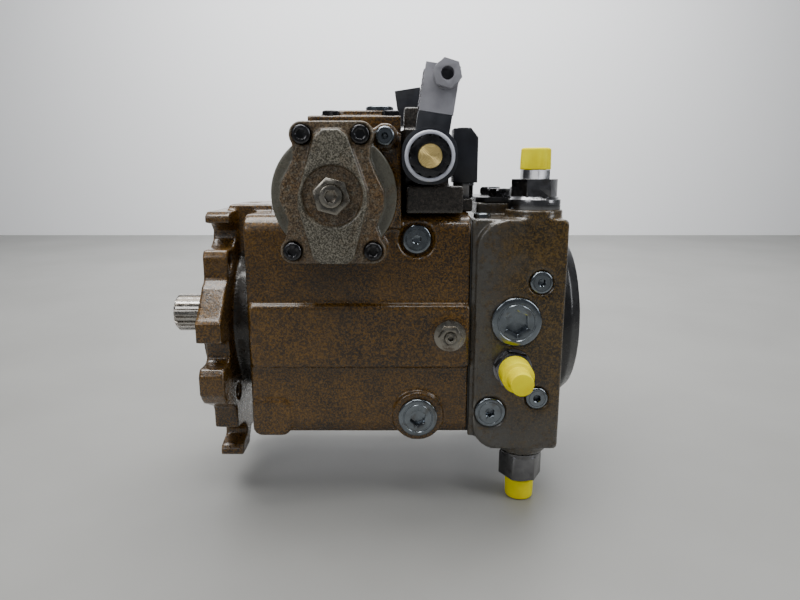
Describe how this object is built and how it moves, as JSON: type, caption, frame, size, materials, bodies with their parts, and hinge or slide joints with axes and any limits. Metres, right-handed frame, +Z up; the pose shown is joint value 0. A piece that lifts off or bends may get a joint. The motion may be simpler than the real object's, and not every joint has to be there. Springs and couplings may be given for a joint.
{
  "type": "axial piston pump",
  "caption": "Variable swashplate piston pump with splined shaft, lobed flange, cross-wise stroking cylinder, solenoid valve, port plate with capped fittings and boost pump.",
  "frame": {"origin": "centre of the drive shaft where it meets the flange's mounting face", "axes": "+X along the shaft from the flange to the port plate, +Z up through the stroking cylinder, -Y towards the side with the adjusters and plugs"},
  "size_m": [0.358, 0.254, 0.3628],
  "materials": {
    "cast_brown": "oil-wet brown coated casting",
    "cast_plate": "oil-wet brown coated casting with machined grey faces",
    "cast_dark": "dark coated casting",
    "cover_olive": "olive grey casting with rust",
    "black_paint": "satin black",
    "black_oxide": "black oxide steel",
    "zinc": "bluish zinc plating",
    "fitting_steel": "dark plated steel",
    "steel": "machined steel",
    "bearing_steel": "ground steel",
    "coil_plastic": "black moulded plastic",
    "white_plastic": "pale plastic",
    "grey_plastic": "grey moulded plastic",
    "yellow_plastic": "bright yellow plastic",
    "bronze": "bronze",
    "brass": "turned brass",
    "rubber": "black rubber",
    "spring_steel": "spring wire"
  },
  "bodies": {
    "casing": {"housing": "cast_brown", "control_block": "cast_brown", "port_plate": "cast_plate", "valve_body": "cast_dark", "servo_cover_front": "cover_olive", "servo_cover_rear": "cover_olive", "boost_cover": "black_paint", "port_covers": "black_paint", "socket_screws": "black_oxide", "port_cover_bolts": "black_oxide", "coil_nuts": "black_oxide", "blanking_plugs": "zinc", "relief_plugs": "zinc", "front_fitting": "fitting_steel", "top_fitting": "fitting_steel", "bottom_fitting": "fitting_steel", "cutoff_cartridge": "fitting_steel", "cable_gland": "grey_plastic", "adjuster_screws": "steel", "adjuster_locknuts": "steel", "seal_circlip": "steel", "bearing_cups": "bearing_steel", "solenoid_coils": "coil_plastic", "cutoff_coil": "coil_plastic", "din_plug_rear": "coil_plastic", "din_plug_front": "grey_plastic", "coil_rings": "white_plastic", "valve_plate": "bronze", "cradle_bearings": "bronze", "seals": "rubber", "shaft_seal": "rubber", "centring_springs": "spring_steel", "relief_springs": "spring_steel"},
    "rotating_group": {"drive_shaft": "steel", "front_bearing_cone": "bearing_steel", "bearing_rollers": "bearing_steel", "cylinder_block": "bearing_steel", "retaining_ball": "bearing_steel", "block_spring": "spring_steel", "boost_rotor_inner": "bearing_steel"},
    "boost_ring": {"boost_rotor_outer": "bearing_steel"},
    "slipper_ring": {"slippers": "bronze", "retaining_plate": "bearing_steel"},
    "swashplate": {"swash_plate": "bearing_steel"},
    "stroking_piston": {"servo_piston": "bearing_steel"},
    "spool": {"control_spool": "brass"},
    "cap_front": {"front_cap": "yellow_plastic"},
    "cap_top": {"top_cap": "yellow_plastic"},
    "cap_bottom": {"bottom_cap": "yellow_plastic"},
    "poppet_front": {"relief_poppet_front": "bearing_steel"},
    "poppet_rear": {"relief_poppet_rear": "bearing_steel"},
    "pump_piston_1": {"piston_1": "bearing_steel"},
    "pump_piston_2": {"piston_2": "bearing_steel"},
    "pump_piston_3": {"piston_3": "bearing_steel"},
    "pump_piston_4": {"piston_4": "bearing_steel"},
    "pump_piston_5": {"piston_5": "bearing_steel"},
    "pump_piston_6": {"piston_6": "bearing_steel"},
    "pump_piston_7": {"piston_7": "bearing_steel"},
    "pump_piston_8": {"piston_8": "bearing_steel"},
    "pump_piston_9": {"piston_9": "bearing_steel"}
  },
  "joints": [
    {"name": "shaft_spin", "type": "hinge", "parent": "casing", "child": "rotating_group", "pos_m": [0, 0, 0], "axis": [1, 0, 0], "range_deg": [-360, 360]},
    {"name": "boost_ring_spin", "type": "hinge", "parent": "casing", "child": "boost_ring", "pos_m": [0, -0.003, 0], "axis": [1, 0, 0], "range_deg": [-309, 309]},
    {"name": "swash_tilt", "type": "hinge", "parent": "casing", "child": "swashplate", "pos_m": [0.072, 0, 0], "axis": [0, 0, 1], "range_deg": [-15, 15], "stiffness_Nm_per_rad": 5},
    {"name": "slipper_ring_spin", "type": "hinge", "parent": "swashplate", "child": "slipper_ring", "pos_m": [0.072, 0, 0], "axis": [1, 0, 0], "range_deg": [-361, 361]},
    {"name": "stroking_slide", "type": "slide", "parent": "casing", "child": "stroking_piston", "axis": [0, 1, 0], "range_m": [-0.0105, 0.0105], "deforming": ["centring_springs"]},
    {"name": "spool_slide", "type": "slide", "parent": "casing", "child": "spool", "axis": [0, 1, 0], "range_m": [-0.0025, 0.0025], "stiffness_N_per_m": 2000},
    {"name": "relief_front_lift", "type": "slide", "parent": "casing", "child": "poppet_front", "axis": [0, -1, 0], "range_m": [0, 0.003], "stiffness_N_per_m": 1500, "springref_m": -0.004, "deforming": ["relief_springs"]},
    {"name": "relief_rear_lift", "type": "slide", "parent": "casing", "child": "poppet_rear", "axis": [0, 1, 0], "range_m": [0, 0.003], "stiffness_N_per_m": 1500, "springref_m": -0.004, "deforming": ["relief_springs"]},
    {"name": "front_cap_pull", "type": "slide", "parent": "casing", "child": "cap_front", "axis": [0, -1, 0], "range_m": [0, 0.03]},
    {"name": "top_cap_pull", "type": "slide", "parent": "casing", "child": "cap_top", "axis": [0, 0, 1], "range_m": [0, 0.03]},
    {"name": "bottom_cap_pull", "type": "slide", "parent": "casing", "child": "cap_bottom", "axis": [0, 0, -1], "range_m": [0, 0.03]},
    {"name": "piston_1_stroke", "type": "slide", "parent": "rotating_group", "child": "pump_piston_1", "axis": [1, 0, 0], "range_m": [-0.01, 0.01]},
    {"name": "piston_2_stroke", "type": "slide", "parent": "rotating_group", "child": "pump_piston_2", "axis": [1, 0, 0], "range_m": [-0.01, 0.01]},
    {"name": "piston_3_stroke", "type": "slide", "parent": "rotating_group", "child": "pump_piston_3", "axis": [1, 0, 0], "range_m": [-0.01, 0.01]},
    {"name": "piston_4_stroke", "type": "slide", "parent": "rotating_group", "child": "pump_piston_4", "axis": [1, 0, 0], "range_m": [-0.01, 0.01]},
    {"name": "piston_5_stroke", "type": "slide", "parent": "rotating_group", "child": "pump_piston_5", "axis": [1, 0, 0], "range_m": [-0.01, 0.01]},
    {"name": "piston_6_stroke", "type": "slide", "parent": "rotating_group", "child": "pump_piston_6", "axis": [1, 0, 0], "range_m": [-0.01, 0.01]},
    {"name": "piston_7_stroke", "type": "slide", "parent": "rotating_group", "child": "pump_piston_7", "axis": [1, 0, 0], "range_m": [-0.01, 0.01]},
    {"name": "piston_8_stroke", "type": "slide", "parent": "rotating_group", "child": "pump_piston_8", "axis": [1, 0, 0], "range_m": [-0.01, 0.01]},
    {"name": "piston_9_stroke", "type": "slide", "parent": "rotating_group", "child": "pump_piston_9", "axis": [1, 0, 0], "range_m": [-0.01, 0.01]}
  ],
  "couplings": [
    {"joint": "boost_ring_spin", "follows": "shaft_spin", "ratio": 0.85714},
    {"joint": "slipper_ring_spin", "follows": "shaft_spin", "ratio": 1},
    {"joint": "stroking_slide", "follows": "swash_tilt", "m_per_rad": 0.0395},
    {"joint": "piston_1_stroke", "follows": "swash_tilt", "m_per_rad": -0.037},
    {"joint": "piston_2_stroke", "follows": "swash_tilt", "m_per_rad": -0.028344},
    {"joint": "piston_3_stroke", "follows": "swash_tilt", "m_per_rad": -0.006425},
    {"joint": "piston_4_stroke", "follows": "swash_tilt", "m_per_rad": 0.0185},
    {"joint": "piston_5_stroke", "follows": "swash_tilt", "m_per_rad": 0.034769},
    {"joint": "piston_6_stroke", "follows": "swash_tilt", "m_per_rad": 0.034769},
    {"joint": "piston_7_stroke", "follows": "swash_tilt", "m_per_rad": 0.0185},
    {"joint": "piston_8_stroke", "follows": "swash_tilt", "m_per_rad": -0.006425},
    {"joint": "piston_9_stroke", "follows": "swash_tilt", "m_per_rad": -0.028344}
  ]
}
